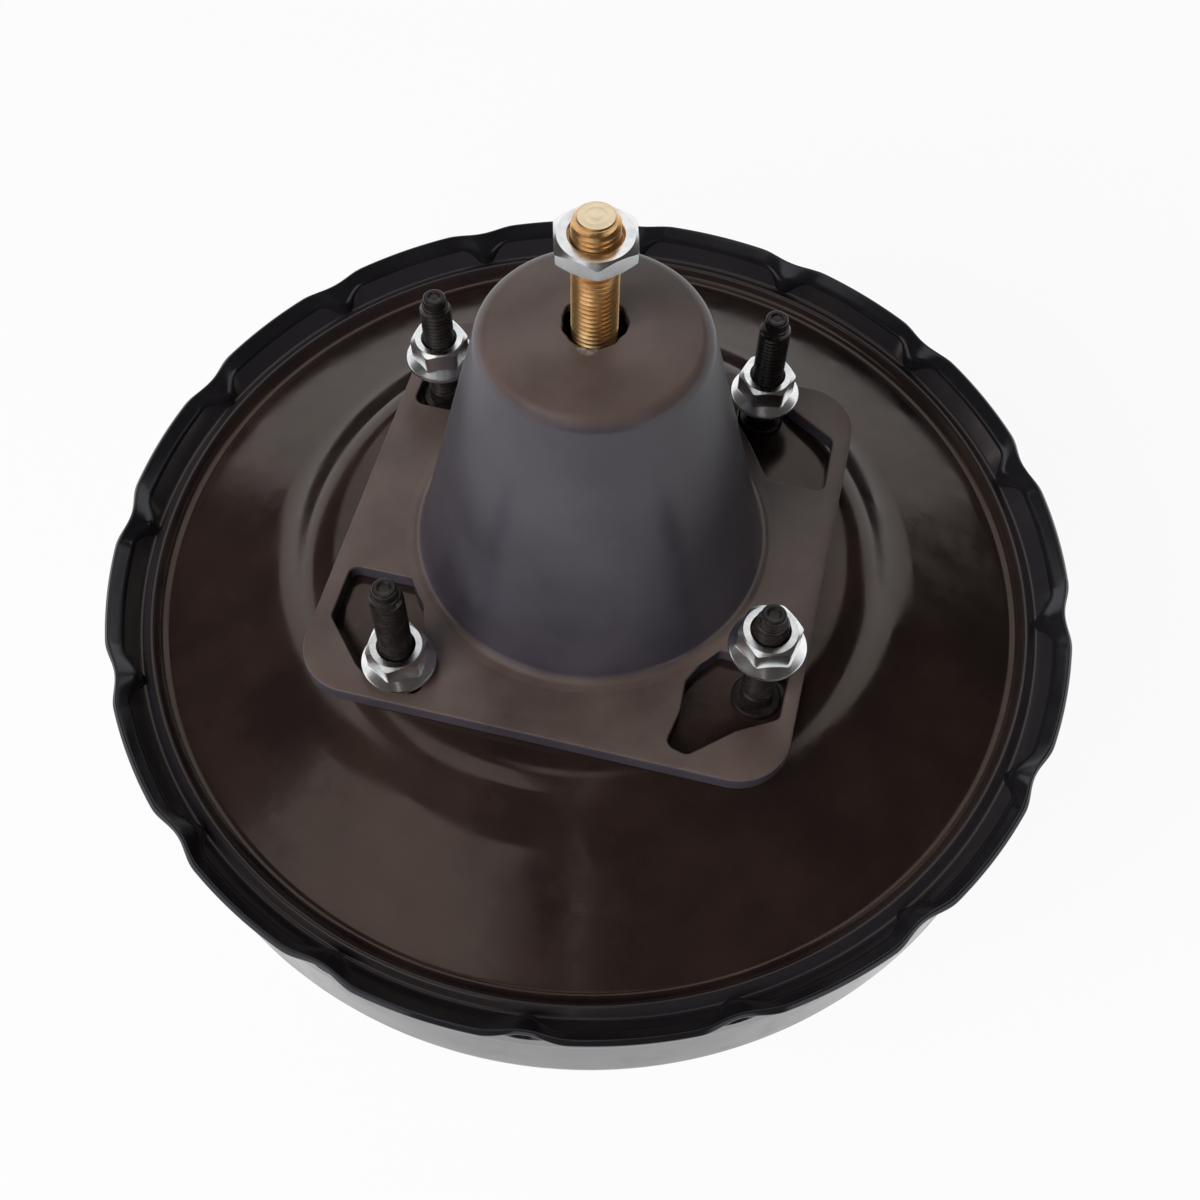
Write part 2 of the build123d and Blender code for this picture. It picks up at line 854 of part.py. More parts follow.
def poppet_retainer():
    outer = poppet_r - 1.4 - seat_gap
    high = bead_bottom + bead_height
    lip = 1.0
    return lathe([
        (retainer_bore, high - 1.6),
        (retainer_bore, high - 1.6 - lip),
        (outer, high - 1.6 - lip),
        (outer, high + seat_gap),
        (neck_bore - 0.3, high + seat_gap),
        (neck_bore - 0.3, high + seat_gap + lip),
        (outer - lip, high + seat_gap + lip),
        (outer - lip, high - 1.6),
    ])


def poppet_spring():
    low = valve_seat + poppet_face
    high = bead_bottom + bead_height - 2.6
    return coil(9.4, 0.9, low, high, 3.5)


def input_return_spring():
    return coil(8.8, 1.3, bead_bottom + bead_height - 1.6, spring_seat_height, 3.5)


def silencer():
    low = silencer_bottom
    return ring(filter_bore, neck_bore - seat_gap, low, low + silencer_thick)


def air_filter():
    low = silencer_bottom + silencer_thick
    return ring(filter_bore, neck_bore - seat_gap, low, tail_end)


def filter_retainer():
    lip = retainer_lip
    outer = tail_r + seat_gap + lip
    return lathe([
        (filter_bore + 1.0, tail_end),
        (tail_r + seat_gap, tail_end),
        (tail_r + seat_gap, tail_end - retainer_skirt),
        (outer, tail_end - retainer_skirt),
        (outer, tail_end + lip, 0.6),
        (filter_bore + 1.0, tail_end + lip),
    ])


# Input rod

def input_rod():
    stem_end = spring_seat_height + 1.2
    start = ball_height + sqrt(ball_r ** 2 - rod_stem_r ** 2) - 0.4
    shaft = lathe([
        (0, start),
        (rod_stem_r, start),
        (rod_stem_r, stem_end),
        (rod_shank_r, stem_end + 0.8),
        (rod_shank_r, lock_bottom + lock_height + free_gap),
        (rod_r, lock_bottom + lock_height + free_gap),
        (rod_r, rod_end - rod_chamfer),
        (rod_r - rod_chamfer, rod_end),
        (0, rod_end),
    ])
    return shaft + Pos(0, 0, ball_height) * Sphere(ball_r)


def rod_spring_seat():
    low = spring_seat_height
    return ring(rod_stem_r + seat_gap, rod_stem_r + 6.0, low, low + 1.2)


def lock_nut():
    corners = lock_across_flats / cos(pi / 6) / 2
    hexagon = extrude(RegularPolygon(lock_across_flats / 2, 6, major_radius=False), lock_height)
    turned = lathe([
        (0, 0),
        (lock_across_flats / 2 - 0.3, 0),
        (corners, lock_chamfer),
        (corners, lock_height - lock_chamfer),
        (lock_across_flats / 2 - 0.3, lock_height),
        (0, lock_height),
    ])
    nut = (hexagon & turned) - rod(rod_r + seat_gap, -1, lock_height + 1)
    return Pos(0, 0, lock_bottom) * Rot(0, 0, lock_turn) * nut


def build():
    save("front_shell", front_shell())
    save("rear_shell", rear_shell())
    save("rear_stiffening_plate", rear_plate())
    save("front_stiffening_plate", front_plate())
    half = stud_spacing / 2
    save_group("firewall_studs", [spot * firewall_stud() for spot in square_places(stud_spacing)])
    save_group("firewall_flange_nuts", [
        Pos(x * half, y * half, z) * Rot(0, 0, turn) * flange_nut() for x, y, z, turn in nut_places
    ])
    save_group("master_cylinder_studs", [spot * master_stud() for spot in square_places(front_stud_spacing)])
    save("dust_boot", dust_boot())
    save("rear_bearing", rear_bearing())
    save("rear_seal", rear_seal())
    save("rear_seal_retainer", rear_seal_retainer())
    save("front_seal", front_seal())
    save("front_seal_retainer", front_seal_retainer())
    save("check_valve_grommet", check_grommet())
    save("check_valve_cap", check_cap())
    save("check_valve_body", check_body())
    save("check_valve_disc", check_disc_piece())
    save("check_valve_spring", check_spring())
    save("diaphragm", diaphragm())
    save("diaphragm_plate", diaphragm_plate())
    save("valve_body", valve_body())
    save("reaction_disc", reaction_disc())
    save("output_rod", output_rod())
    save("output_rod_adjuster", output_adjuster())
    save("output_rod_retainer", output_retainer())
    save("return_spring", return_spring())
    save("plunger", plunger())
    save("stop_key", stop_key())
    save("poppet_valve", poppet_valve())
    save("poppet_bellows", poppet_bellows())
    save("poppet_retainer", poppet_retainer())
    save("poppet_spring", poppet_spring())
    save("input_return_spring", input_return_spring())
    save("silencer_felt", silencer())
    save("air_filter", air_filter())
    save("filter_retainer", filter_retainer())
    save("input_rod", input_rod())
    save("rod_spring_seat", rod_spring_seat())
    save("rod_lock_nut", lock_nut())


build()
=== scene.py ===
import bmesh
import bpy
import json
from math import ceil, cos, hypot, pi, radians, sin, sqrt, tan
from mathutils import Matrix, Vector


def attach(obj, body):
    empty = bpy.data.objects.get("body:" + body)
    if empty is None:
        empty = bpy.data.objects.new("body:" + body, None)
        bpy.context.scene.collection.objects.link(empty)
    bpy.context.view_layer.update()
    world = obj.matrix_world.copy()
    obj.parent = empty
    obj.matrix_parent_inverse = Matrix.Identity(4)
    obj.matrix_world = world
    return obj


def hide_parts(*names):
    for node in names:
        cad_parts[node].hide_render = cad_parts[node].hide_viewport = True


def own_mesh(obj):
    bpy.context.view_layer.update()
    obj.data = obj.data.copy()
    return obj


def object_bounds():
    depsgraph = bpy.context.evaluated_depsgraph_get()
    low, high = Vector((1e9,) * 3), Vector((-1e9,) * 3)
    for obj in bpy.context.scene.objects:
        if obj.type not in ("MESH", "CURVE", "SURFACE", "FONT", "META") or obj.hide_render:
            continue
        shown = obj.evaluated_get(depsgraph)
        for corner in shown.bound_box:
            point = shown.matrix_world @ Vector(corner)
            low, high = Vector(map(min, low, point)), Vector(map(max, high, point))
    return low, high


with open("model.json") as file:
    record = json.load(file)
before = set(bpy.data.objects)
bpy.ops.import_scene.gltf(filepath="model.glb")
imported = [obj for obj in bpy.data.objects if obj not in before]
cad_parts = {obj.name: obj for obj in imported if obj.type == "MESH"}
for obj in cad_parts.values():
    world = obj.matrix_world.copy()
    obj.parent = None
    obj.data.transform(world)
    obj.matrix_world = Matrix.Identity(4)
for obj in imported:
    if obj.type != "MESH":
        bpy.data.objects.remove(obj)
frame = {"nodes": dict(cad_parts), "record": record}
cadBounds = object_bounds()
scene = bpy.context.scene
mm = 0.001
originZ = 4.2  # heights are in mm from the rear shell's boss face, this far under the frame's origin


def hexColour(code):
    # sRGB hex to the linear values that the shaders want
    values = [int(code[i:i + 2], 16) / 255 for i in (1, 3, 5)]
    return tuple(v / 12.92 if v <= 0.04045 else ((v + 0.055) / 1.055) ** 2.4 for v in values) + (1.0,)


def addNode(tree, kind, settings=None, links=None):
    # settings go to the node or its inputs, links are {input: output socket}
    node = tree.nodes.new(kind)
    for name, value in (settings or {}).items():
        if isinstance(name, str) and hasattr(node, name):
            setattr(node, name, value)
        else:
            node.inputs[name].default_value = value
    for name, socket in (links or {}).items():
        tree.links.new(socket, node.inputs[name])
    return node


def newMaterial(name):
    material = bpy.data.materials.new(name)
    material.use_nodes = True
    tree = material.node_tree
    shader = tree.nodes["Principled BSDF"]
    place = addNode(tree, "ShaderNodeTexCoord").outputs["Object"]
    return material, tree, shader, place


def blobs(sizeMm, detail, rough):
    # noise settings that make one blob about sizeMm across
    return {"Scale": 1 / (sizeMm * mm), "Detail": detail, "Roughness": rough}


def clouded(tree, place, sizeMm, detail, stops):
    # soft clouds and the colour they give; stops are (share, hex), the darker tone first
    cloud = addNode(tree, "ShaderNodeTexNoise", blobs(sizeMm, detail, 0.6), {"Vector": place}).outputs["Fac"]
    tones = addNode(tree, "ShaderNodeValToRGB", links={"Fac": cloud})
    for element, (share, code) in zip(tones.color_ramp.elements, stops):
        element.position = share
        element.color = hexColour(code)
    return cloud, tones.outputs["Color"]


def patchyGloss(tree, shader, cloud, span, roughness):
    # roughness follows the clouds, so that reflections break up a little
    settings = {"From Min": span[0], "From Max": span[1], "To Min": roughness[0], "To Max": roughness[1]}
    rough = addNode(tree, "ShaderNodeMapRange", settings, {"Value": cloud})
    tree.links.new(rough.outputs["Result"], shader.inputs["Roughness"])


def grained(tree, shader, place, grain, depthMm, strength):
    # fine relief of a moulded skin or of tool marks
    noise = addNode(tree, "ShaderNodeTexNoise", grain, {"Vector": place})
    relief = addNode(tree, "ShaderNodeBump", {"Strength": strength, "Distance": depthMm * mm},
                     {"Height": noise.outputs["Fac"]})
    tree.links.new(relief.outputs["Normal"], shader.inputs["Normal"])


def upward(tree, low, high):
    # 0 on steep faces, 1 on faces that look up; it lays dust and painted top light on the boot and a painted
    # highlight on the rod's faced end
    normal = addNode(tree, "ShaderNodeNewGeometry").outputs["Normal"]
    height = addNode(tree, "ShaderNodeSeparateXYZ", links={"Vector": normal}).outputs["Z"]
    share = addNode(tree, "ShaderNodeMapRange", {"From Min": low, "From Max": high}, {"Value": height})
    return share.outputs["Result"]


def bakedEnamel(name, look):
    # baked black enamel on pressed steel: deep gloss with hazy patches and faint orange peel
    look = {
        "cloudMm": 38.0, "hazeMm": 14.0, "roughness": (0.10, 0.24), "peelMm": 1.8, "waveMm": 26.0,
        "waveShare": 24.0, "reliefMm": 0.010, "rimMm": (112.5, 115.5), **look,
    }
    material, tree, shader, place = newMaterial(name)
    _, colour = clouded(tree, place, look["cloudMm"], 4.0, [(0.35, look["deep"]), (0.7, look["light"])])
    if "rim" in look:
        # the folded rim outside this radius is a cooler black than the dish, painted paler as a painted
        # reflection
        low, high = look["rimMm"]
        flat = addNode(tree, "ShaderNodeVectorMath", {"operation": "MULTIPLY", 1: (1, 1, 0)}, {0: place})
        radius = addNode(tree, "ShaderNodeVectorMath", {"operation": "LENGTH"}, {0: flat.outputs[0]})
        outer = addNode(tree, "ShaderNodeMapRange", {"From Min": low * mm, "From Max": high * mm},
                        {"Value": radius.outputs["Value"]})
        colour = addNode(tree, "ShaderNodeMix", {"data_type": "RGBA", 7: hexColour(look["rim"])},
                         {0: outer.outputs["Result"], 6: colour}).outputs[2]
    tree.links.new(colour, shader.inputs["Base Color"])
    shader.inputs["IOR"].default_value = 1.52
    shader.inputs["Specular Tint"].default_value = hexColour(look["tint"])
    haze = addNode(tree, "ShaderNodeTexNoise", blobs(look["hazeMm"], 6.0, 0.65), {"Vector": place})
    patchyGloss(tree, shader, haze.outputs["Fac"], (0.35, 0.7), look["roughness"])
    peel = addNode(tree, "ShaderNodeTexNoise", blobs(look["peelMm"], 2.0, 0.4), {"Vector": place})
    wave = addNode(tree, "ShaderNodeTexNoise", blobs(look["waveMm"], 2.0, 0.5), {"Vector": place})
    height = addNode(tree, "ShaderNodeMath", {"operation": "MULTIPLY_ADD", 1: look["waveShare"]},
                     {0: wave.outputs["Fac"], 2: peel.outputs["Fac"]})
    relief = addNode(tree, "ShaderNodeBump", {"Strength": 0.6, "Distance": look["reliefMm"] * mm},
                     {"Height": height.outputs[0]})
    tree.links.new(relief.outputs["Normal"], shader.inputs["Normal"])
    return material


def bootRubber():
    # moulded EPDM: satin skin, bluish black on the cone, faces that look up warmer and paler: dust with
    # painted top light
    look = {
        "side": "#454149", "shade": "#343037", "dust": "#685953", "thinDustAndTopLight": "#4a3d39", "cloudMm": 26.0,
        "scuff": "#a69c92", "scuffPlace": (-1.0, -6.9, 76.6), "scuffMm": 2.4, "scuffGrainMm": 1.2,
        "roughness": (0.30, 0.38), "grainMm": 0.45, "reliefMm": 0.02,
    }
    material, tree, shader, place = newMaterial("mouldedBootRubber")
    cloud, side = clouded(tree, place, look["cloudMm"], 5.0, [(0.3, look["shade"]), (0.75, look["side"])])
    # the warm tone on faces that look up is dust and painted light falling on the tops
    _, dustAndTopLightTone = clouded(tree, place, look["cloudMm"], 5.0, [(0.3, look["thinDustAndTopLight"]), (0.7, look["dust"])])
    skin = addNode(tree, "ShaderNodeMix", {"data_type": "RGBA"},
                   {0: upward(tree, 0.45, 0.95), 6: side, 7: dustAndTopLightTone}).outputs[2]
    # one pale rubbed spot beside the rod's hole, patchy like a scuff
    spot = [v * mm for v in look["scuffPlace"]]
    away = addNode(tree, "ShaderNodeVectorMath", {"operation": "DISTANCE", 1: spot}, {0: place})
    edge, core = look["scuffMm"] * mm, look["scuffMm"] * 0.6 * mm
    patch = addNode(tree, "ShaderNodeMapRange", {"From Min": edge, "From Max": core, "To Max": 0.75},
                    {"Value": away.outputs["Value"]})
    speck = addNode(tree, "ShaderNodeTexNoise", blobs(look["scuffGrainMm"], 3.0, 0.6), {"Vector": place})
    bare = addNode(tree, "ShaderNodeMapRange", {"From Min": 0.4, "From Max": 0.6, "To Min": 0.2},
                   {"Value": speck.outputs["Fac"]})
    rubbed = addNode(tree, "ShaderNodeMath", {"operation": "MULTIPLY"},
                     {0: patch.outputs["Result"], 1: bare.outputs["Result"]})
    colour = addNode(tree, "ShaderNodeMix", {"data_type": "RGBA", 7: hexColour(look["scuff"])},
                     {0: rubbed.outputs[0], 6: skin})
    tree.links.new(colour.outputs[2], shader.inputs["Base Color"])
    shader.inputs["IOR"].default_value = 1.5
    patchyGloss(tree, shader, cloud, (0.3, 0.8), look["roughness"])
    grained(tree, shader, place, blobs(look["grainMm"], 2.0, 0.5), look["reliefMm"], 0.35)
    return material


def zincPlate(name, look):
    # zinc-plated steel, rolled or cold formed: bright with soft grey clouds and tool marks
    look = {"cloudMm": 6.0, "marksMm": 0.35, "marksDepthMm": 0.01, **look}
    material, tree, shader, place = newMaterial(name)
    cloud, colour = clouded(tree, place, look["cloudMm"], 4.0, [(0.3, look["shade"]), (0.65, look["bright"])])
    if "facedEndHighlight" in look:
        # faces that look up, which on the rod is its faced end, are painted paler: a painted highlight
        colour = addNode(tree, "ShaderNodeMix", {"data_type": "RGBA", 7: hexColour(look["facedEndHighlight"])},
                         {0: upward(tree, 0.93, 0.99), 6: colour}).outputs[2]
    tree.links.new(colour, shader.inputs["Base Color"])
    shader.inputs["Metallic"].default_value = 1.0
    patchyGloss(tree, shader, cloud, (0.3, 0.7), (look["rough"] + 0.1, look["rough"]))
    grained(tree, shader, place, blobs(look["marksMm"], 3.0, 0.6), look["marksDepthMm"], 0.4)
    return material


def blackOxide():
    # steel blackened in hot oxide and oiled: near black with small wet glints
    look = {"deep": "#1b1716", "light": "#332d2b", "cloudMm": 3.0, "roughness": (0.2, 0.34)}
    material, tree, shader, place = newMaterial("blackOxideSteel")
    cloud, colour = clouded(tree, place, look["cloudMm"], 4.0, [(0.3, look["deep"]), (0.8, look["light"])])
    tree.links.new(colour, shader.inputs["Base Color"])
    shader.inputs["Metallic"].default_value = 0.35
    patchyGloss(tree, shader, cloud, (0.3, 0.8), look["roughness"])
    return material


def softMaterial(name, look):
    # moulded plastic and rubber, felt and foam of the inner parts: dull and evenly grained
    material, tree, shader, place = newMaterial(name)
    rough, grainMm = look["rough"], look["grainMm"]
    cloud, colour = clouded(tree, place, grainMm * 8, 4.0, [(0.3, look["deep"]), (0.75, look["light"])])
    tree.links.new(colour, shader.inputs["Base Color"])
    patchyGloss(tree, shader, cloud, (0.3, 0.8), (rough, rough + 0.1))
    grained(tree, shader, place, blobs(grainMm, 2.0, 0.5), 0.03, 0.5)
    return material


print("materials")
# the rim colour is a cooler black, lightened as a painted reflection
rearEnamel = bakedEnamel("brownBlackBakedEnamel", {
    "deep": "#1f1715", "light": "#30231f", "tint": "#ffeade", "rim": "#29272b"})
frontEnamel = bakedEnamel("blueBlackBakedEnamel", {"deep": "#161518", "light": "#201e22", "tint": "#f2f4ff"})
rubber = bootRubber()
clearZinc = zincPlate("clearZincNuts", {"bright": "#fbfbfa", "shade": "#dfe3e8", "rough": 0.18})
# facedEndHighlight is a painted highlight on the rod's end face, which looks up
yellowZinc = zincPlate("yellowZincRod", {  # the chromate turns the zinc honey gold
    "bright": "#fad29a", "shade": "#d9a263", "facedEndHighlight": "#ffecc9", "rough": 0.26, "cloudMm": 4.0,
    "marksDepthMm": 0.005})
dullZinc = zincPlate("zincPlatedSteel", {"bright": "#b4b7b8", "shade": "#8d9092", "rough": 0.32})
springWire = zincPlate("drawnSpringSteel", {"bright": "#5a5a5c", "shade": "#3c3c3e", "rough": 0.3})
turnedSteel = zincPlate("turnedPlungerSteel", {"bright": "#a2a4a8", "shade": "#84868a", "rough": 0.25})
oxide = blackOxide()
phenolic = softMaterial("mouldedPhenolic", {
    "deep": "#191512", "light": "#241e1a", "rough": 0.4, "grainMm": 0.4})
nylon = softMaterial("mouldedBlackNylon", {
    "deep": "#161618", "light": "#202022", "rough": 0.38, "grainMm": 0.5})
acetal = softMaterial("mouldedAcetal", {
    "deep": "#cfcabd", "light": "#dcd8cd", "rough": 0.4, "grainMm": 0.5})
nitrile = softMaterial("mouldedNitrile", {
    "deep": "#121212", "light": "#1c1c1c", "rough": 0.5, "grainMm": 0.4})
felt = softMaterial("needledFelt", {"deep": "#565452", "light": "#6a6866", "rough": 0.9, "grainMm": 0.8})
foam = softMaterial("openCellFoam", {"deep": "#2c2c2c", "light": "#3c3c3c", "rough": 0.9, "grainMm": 0.9})
slotLooks = {
    "black_enamel": frontEnamel, "zinc_steel": dullZinc, "black_oxide_steel": oxide,
    "clear_zinc": clearZinc, "boot_rubber": rubber, "bearing_plastic": acetal, "seal_rubber": nitrile,
    "valve_plastic": nylon, "spring_steel": springWire, "diaphragm_rubber": nitrile,
    "phenolic": phenolic, "plunger_steel": turnedSteel, "felt": felt, "filter_foam": foam,
    "yellow_zinc": yellowZinc,
}
for part in frame["record"]["subparts"]:
    node = frame["nodes"][part["node"]]
    node.data.materials.clear()
    node.data.materials.append(slotLooks[part["material_slot"]])


def meshPiece(name, vertices, faces, material, body, slotName, replaced, sharp=35.0):
    # a mesh piece that rides on a body in place of the solids it stands for, smooth up to sharp degrees
    build = bmesh.new()
    points = [build.verts.new(v) for v in vertices]
    for cell in faces:
        build.faces.new([points[i] for i in cell])
    bmesh.ops.remove_doubles(build, verts=build.verts, dist=2e-6)
    bmesh.ops.dissolve_degenerate(build, edges=build.edges, dist=2e-6)
    openEdges = [edge for edge in build.edges if edge.is_boundary]
    bmesh.ops.holes_fill(build, edges=openEdges)
    bmesh.ops.recalc_face_normals(build, faces=build.faces)
    mesh = bpy.data.meshes.new(name)
    build.to_mesh(mesh)
    build.free()
    piece = bpy.data.objects.new(name, mesh)
    scene.collection.objects.link(piece)
    mesh.materials.append(material)
    mesh.polygons.foreach_set("use_smooth", [True] * len(mesh.polygons))
    mesh.set_sharp_from_angle(angle=radians(sharp))
    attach(piece, body)
    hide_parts(*replaced)
    return piece


def roundedPath(points):
    # (r, z, bend) corners in mm become a path with each bend as straight steps of up to 7 degrees
    path = []
    for i, (r, z, bend) in enumerate(points):
        if bend == 0 or i in (0, len(points) - 1):
            path.append((r, z))
            continue
        here = Vector((r, z))
        back = (Vector(points[i - 1][:2]) - here).normalized()
        ahead = (Vector(points[i + 1][:2]) - here).normalized()
        half = back.angle(ahead) / 2
        reach = bend / tan(half)
        centre = here + (back + ahead).normalized() * (bend / sin(half))
        first, last = here + back * reach - centre, here + ahead * reach - centre
        steps = max(3, ceil((pi - 2 * half) / radians(7)))
        for k in range(steps + 1):
            mixed = (first * (1 - k / steps) + last * (k / steps)).normalized() * bend
            path.append(tuple(centre + mixed))
    return path


def turnedMesh(path, columns, closed=False, shape=None):
    # grid of a profile turned about the rod's axis; shape may give a row another (r, z) at each angle
    vertices, faces = [], []
    rows = len(path)
    for k in range(columns):
        angle = 2 * pi * k / columns
        for row in path:
            r, z = shape(angle, row) if shape else row
            vertices.append((r * cos(angle) * mm, r * sin(angle) * mm, (z - originZ) * mm))
    for k in range(columns):
        ahead = (k + 1) % columns
        for i in range(rows if closed else rows - 1):
            j = (i + 1) % rows
            faces.append((k * rows + i, ahead * rows + i, ahead * rows + j, k * rows + j))
    return vertices, faces


def offsetPath(path, gap, side):
    # (r, z, bend) corners moved sideways by gap, side 1 is left of the path's direction
    lines = []
    for (r0, z0, _), (r1, z1, _) in zip(path, path[1:]):
        length = hypot(r1 - r0, z1 - z0)
        dr, dz = (r1 - r0) / length, (z1 - z0) / length
        lines.append((r0 - side * gap * dz, z0 + side * gap * dr, dr, dz, length))
    shifted = [(lines[0][0], lines[0][1], path[0][2])]
    for before, after, corner in zip(lines, lines[1:], path[1:]):
        cross = before[2] * after[3] - before[3] * after[2]
        reach = (after[0] - before[0]) * after[3] - (after[1] - before[1]) * after[2]
        bend = corner[2] - gap if cross * side > 0 else corner[2] + gap
        shifted.append((before[0] + reach / cross * before[2], before[1] + reach / cross * before[3],
                        max(bend, 0.3) if corner[2] else 0))
    r0, z0, dr, dz, length = lines[-1]
    shifted.append((r0 + length * dr, z0 + length * dz, path[-1][2]))
    return shifted


def denser(path, step, low, high):
    # extra points on the stretches between two heights, so that the crimps can bend them
    fine = [path[0]]
    for (r0, z0), (r1, z1) in zip(path, path[1:]):
        inside = min(z0, z1) < high and max(z0, z1) > low
        count = max(1, ceil(hypot(r1 - r0, z1 - z0) / step)) if inside else 1
        fine += [(r0 + (r1 - r0) * i / count, z0 + (z1 - z0) * i / count) for i in range(1, count + 1)]
    return fine


print("shells")
shellSizes = {
    "sheet": 1.8, "rim": 125.0, "rimZ": -10.8, "wall": 121.9, "wallDrop": 41.0, "shoulder": 9.0,
    "joggle": 1.0, "joggleDrop": 14.2, "joggleHeight": 2.6, "face": 82.0, "faceDrop": 75.0,
    "boss": 50.0, "bossDrop": 84.0, "bossFlank": 4.0, "pilot": 21.0,
    "crimps": 16, "phase": -2.7, "band": 6.5, "slitHalf": 0.02, "push": 1.3, "pushLow": 3.4,
    "reach": 11.0, "reachLow": 6.5, "sink": 0.6, "pocket": 3.0, "pocketReach": 6.0, "pocketFade": 8.0,
    "columns": 48, "rowStep": 0.8,
}


def crimpAway(s, angle):
    # distance along the rim from the nearest crimp's middle
    step = 2 * pi / s["crimps"]
    return ((angle - radians(s["phase"]) + step / 2) % step - step / 2) * s["rim"]


def pressedIn(s, angle, r, z):
    # a rounded punch presses the band in, most at its foot
    down = min(1.0, max(0.0, (s["rimZ"] - z) / s["band"]))
    depth = s["push"] + (s["pushLow"] - s["push"]) * down
    width = s["reach"] + (s["reachLow"] - s["reach"]) * down
    share = (1 + cos(pi * min(1.0, abs(crimpAway(s, angle)) / width))) / 2
    return r - depth * share, z - s["sink"] * share * down


def frontShell(s):
    # drawn front shell, its rim lanced and crimped over the rear shell at each of the crimps
    rimZ, wall, joggled = s["rimZ"], s["wall"], s["wall"] - s["joggle"]
    faceZ, bossZ, slit = rimZ - s["faceDrop"], rimZ - s["bossDrop"], rimZ - s["band"]
    edgeDrop = s["sheet"] * cos(radians(45))
    outside = [
        (s["rim"], rimZ - edgeDrop, 0.5), (wall, rimZ - edgeDrop - s["rim"] + wall, 2.5),
        (wall, rimZ - s["joggleDrop"], 3.0), (joggled, rimZ - s["joggleDrop"] - s["joggleHeight"], 3.0),
        (joggled, rimZ - s["wallDrop"], s["shoulder"]), (s["face"], faceZ, 10.0),
        (s["boss"] + s["bossFlank"], faceZ, 4.0), (s["boss"], bossZ, 4.0), (s["pilot"], bossZ, 0.0),
    ]
    path = roundedPath(outside[::-1] + offsetPath(outside, s["sheet"], -1))
    fine = denser(path, s["rowStep"], slit - s["pocketFade"], 0.0)
    rows = []
    for (r0, z0), (r1, z1) in zip(fine, fine[1:]):
        rows.append((r0, z0))
        if (z0 - slit) * (z1 - slit) < 0:
            # the band has its own last row, so that the slit under it is a clean step
            t = (slit - z0) / (z1 - z0)
            ends = [(r0 + (r1 - r0) * t, slit + gap) for gap in (-s["slitHalf"], s["slitHalf"])]
            rows += ends if z1 > z0 else ends[::-1]
    rows.append(fine[-1])

    def pushed(angle, row):
        # the band goes in over the slit, and the wall under it gapes in a half ellipse
        r, z = row
        if z < slit:
            gape = sqrt(max(0.0, 1 - (crimpAway(s, angle) / s["pocketReach"]) ** 2))
            return r, z - s["pocket"] * gape * max(0.0, 1 - (slit - z) / s["pocketFade"])
        return pressedIn(s, angle, r, z)

    return turnedMesh(rows, s["crimps"] * s["columns"], closed=True, shape=pushed)


dishSizes = {
    "edge": 119.95, "flat": 1.8, "seam": 121.5, "seamRise": 4.1, "gutter": 117.2, "gutterDrop": 1.3,
    "bead": 114.4, "beadRise": 0.4, "valley": 111.8, "valleyDrop": 2.9, "channel": 113.5,
    "channelDrop": 1.8, "dish": 107.0, "dishDrop": 2.3, "foot": 79.0, "footDrop": 9.3, "boss": 69.3,
    "neck": 27.5, "neckTop": 21.0,
}


def rearShell(s, shell):
    # dished rear shell with a beaded edge that the crimps hold, and a neck that guides the valve body
    slit = shell["rimZ"] - shell["band"]
    inner = [
        (s["foot"], -s["footDrop"], 26.0), (s["boss"], 0.0, 14.0), (s["neck"], 0.0, 2.6),
        (s["neck"], s["neckTop"], 0.0),
    ]
    cabinSide = [
        (s["seam"], slit + s["seamRise"], 0.0), (s["gutter"], slit - s["gutterDrop"], 1.0),
        (s["bead"], slit + s["beadRise"], 1.2), (s["valley"], slit - s["valleyDrop"], 3.0),
    ] + inner
    engineSide = [
        (s["edge"], slit, 0.0), (s["edge"] - s["flat"], slit, 1.5),
        (s["channel"], slit - s["channelDrop"], 2.0), (s["dish"], slit - s["dishDrop"], 6.0),
    ] + inner
    path = roundedPath(cabinSide) + roundedPath(offsetPath(engineSide, shell["sheet"], 1))[::-1]

    def followed(angle, row):
        return pressedIn(shell, angle, *row) if row[0] > s["edge"] else row

    return turnedMesh(path, shell["crimps"] * shell["columns"], closed=True, shape=followed)


meshPiece("frontShellPressed", *frontShell(shellSizes), frontEnamel, "housing", "black_enamel",
          ["front_shell"])
meshPiece("rearShellPressed", *rearShell(dishSizes, shellSizes), rearEnamel, "housing", "black_enamel",
          ["rear_shell"])


def threadSkin(crest, root, pitch, low, high, columns=48):
    # helical thread as a grid whose rows follow the helix, with open ends that meshPiece closes
    shape = [(0.06, root), (0.44, crest), (0.56, crest), (0.94, root)]  # share of the pitch, radius
    turns = ceil((high - low) / pitch) + 2
    rows = turns * len(shape)
    vertices, faces = [], []
    for k in range(columns):
        angle = 2 * pi * k / columns
        for i in range(rows):
            share, r = shape[i % len(shape)]
            z = low + (i // len(shape) + share - 1 + k / columns) * pitch
            fade = min(1.0, max(0.0, (z - low) / pitch), max(0.0, (high - z) / pitch))
            r = root + (r - root) * fade
            z = min(max(z, low), high)
            vertices.append((r * cos(angle) * mm, r * sin(angle) * mm, (z - originZ) * mm))
    for k in range(columns):
        ahead = (k + 1) % columns
        shift = 0 if ahead else len(shape)
        for i in range(rows - 1 - len(shape)):
            j = ahead * rows + i + shift
            faces.append((k * rows + i, j, j + 1, k * rows + i + 1))
    return vertices, faces


def joined(*meshes):
    vertices, faces = [], []
    for points, cells in meshes:
        base = len(vertices)
        vertices += points
        faces += [tuple(i + base for i in cell) for cell in cells]
    return vertices, faces


def moved(mesh, x=0.0, y=0.0, z=0.0, turn=0.0):
    # turned about its own axis in degrees, then shifted in mm
    c, s = cos(radians(turn)), sin(radians(turn))
    vertices, faces = mesh
    return [(px * c - py * s + x * mm, px * s + py * c + y * mm, pz + z * mm)
            for px, py, pz in vertices], faces


